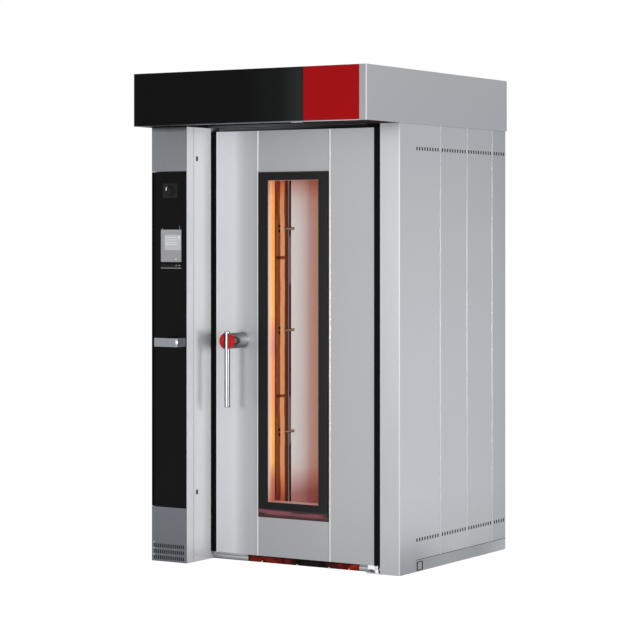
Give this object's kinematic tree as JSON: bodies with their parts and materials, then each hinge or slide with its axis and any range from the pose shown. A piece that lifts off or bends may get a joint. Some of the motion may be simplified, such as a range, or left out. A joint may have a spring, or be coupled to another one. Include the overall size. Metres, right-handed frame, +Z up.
{
  "type": "rotary rack oven",
  "caption": "Roll-in rotating rack oven with a window door, swing lever, control column, fan duct, rack hook, damper flue and steam hood.",
  "frame": {"origin": "on the floor, under the middle of the overall box", "axes": "+X to the right across the front, +Y from the front to the back, +Z up"},
  "size_m": [1.264, 1.361, 2.3],
  "materials": {
    "cladding": "satin",
    "dark_cladding": "brushed",
    "liner": "2B",
    "hardware": "polished",
    "base_steel": "matte",
    "black_enamel": "satin",
    "black_glass": "polished",
    "red_panel": "gloss",
    "red_silicone": "satin",
    "black_seal": "matte",
    "window_glass": "polished",
    "lamp": "lit",
    "screen": "satin",
    "switch_black": "satin",
    "mineral_wool": "fibrous"
  },
  "bodies": {
    "casing": {"right_jamb": "cladding", "right_side_panels": "cladding", "left_side_panels": "cladding", "rear_panels": "cladding", "roof_plate": "cladding", "column_side": "cladding", "hood_front": "cladding", "hood_shell": "cladding", "hood_soffit": "cladding", "plinth_plates": "cladding", "column_top_cover": "dark_cladding", "louvre_cover": "dark_cladding", "chamber_walls": "liner", "chamber_ceiling": "liner", "air_duct_wall": "liner", "louvre_clips": "liner", "duct_outer_wall": "liner", "floor_plate": "liner", "threshold_plates": "liner", "steam_generator": "liner", "flue_pipe": "liner", "latch_keeper": "liner", "hinge_brackets": "hardware", "levelling_feet": "hardware", "heating_elements": "hardware", "base_rails": "base_steel", "fan_motors": "base_steel", "rotor_gearmotor": "base_steel", "component_plate": "base_steel", "door_frame": "black_enamel", "hood_black_glass": "black_glass", "hood_red_panel": "red_panel", "wall_insulation": "mineral_wool"},
    "door": {"door_face_panels": "cladding", "door_inner_skin": "liner", "door_core": "mineral_wool", "window_frame": "black_enamel", "outer_glass": "window_glass", "window_seal": "red_silicone", "door_lamps": "lamp", "door_sweep": "red_silicone", "door_seals": "black_seal", "door_hinge_blocks": "hardware"},
    "inner_window": {"inner_glass": "window_glass", "inner_glass_rails": "liner"},
    "handle": {"handle_hub": "hardware", "handle_cap": "red_panel", "handle_lever": "hardware", "handle_spindle": "hardware", "latch_cam": "hardware"},
    "service_panel": {"service_door": "dark_cladding", "control_glass": "black_glass", "touch_screen": "screen", "control_pull": "hardware", "switch_plate": "switch_black"},
    "main_switch": {"switch_knob": "switch_black"},
    "rotor": {"rack_hook": "liner"},
    "upper_fan": {"upper_fan": "liner"},
    "lower_fan": {"lower_fan": "liner"},
    "damper": {"flue_damper": "liner"}
  },
  "joints": [
    {"name": "door_swing", "type": "hinge", "parent": "casing", "child": "door", "pos_m": [0.5, -0.3565, 1], "axis": [0, 0, 1], "range_deg": [0, 120]},
    {"name": "inner_window_swing", "type": "hinge", "parent": "door", "child": "inner_window", "pos_m": [0.229, -0.2805, 1], "axis": [0, 0, -1], "range_deg": [0, 100]},
    {"name": "handle_turn", "type": "hinge", "parent": "door", "child": "handle", "pos_m": [-0.239, -0.3685, 1.049], "axis": [0, -1, 0], "range_deg": [0, 90]},
    {"name": "service_door_swing", "type": "hinge", "parent": "casing", "child": "service_panel", "pos_m": [-0.612, -0.5205, 1], "axis": [0, 0, -1], "range_deg": [0, 100]},
    {"name": "switch_turn", "type": "hinge", "parent": "service_panel", "child": "main_switch", "pos_m": [-0.5245, -0.5485, 1.754], "axis": [0, -1, 0], "range_deg": [0, 90]},
    {"name": "rotor_spin", "type": "hinge", "parent": "casing", "child": "rotor", "pos_m": [0.047, 0.1515, 2], "axis": [0, 0, 1], "continuous": true},
    {"name": "upper_fan_spin", "type": "hinge", "parent": "casing", "child": "upper_fan", "pos_m": [-0.43, 0.1515, 1.42], "axis": [1, 0, 0], "continuous": true},
    {"name": "lower_fan_spin", "type": "hinge", "parent": "casing", "child": "lower_fan", "pos_m": [-0.43, 0.1515, 0.62], "axis": [1, 0, 0], "continuous": true},
    {"name": "damper_turn", "type": "hinge", "parent": "casing", "child": "damper", "pos_m": [-0.223, 0.4165, 2.125], "axis": [1, 0, 0], "range_deg": [0, 85]}
  ]
}
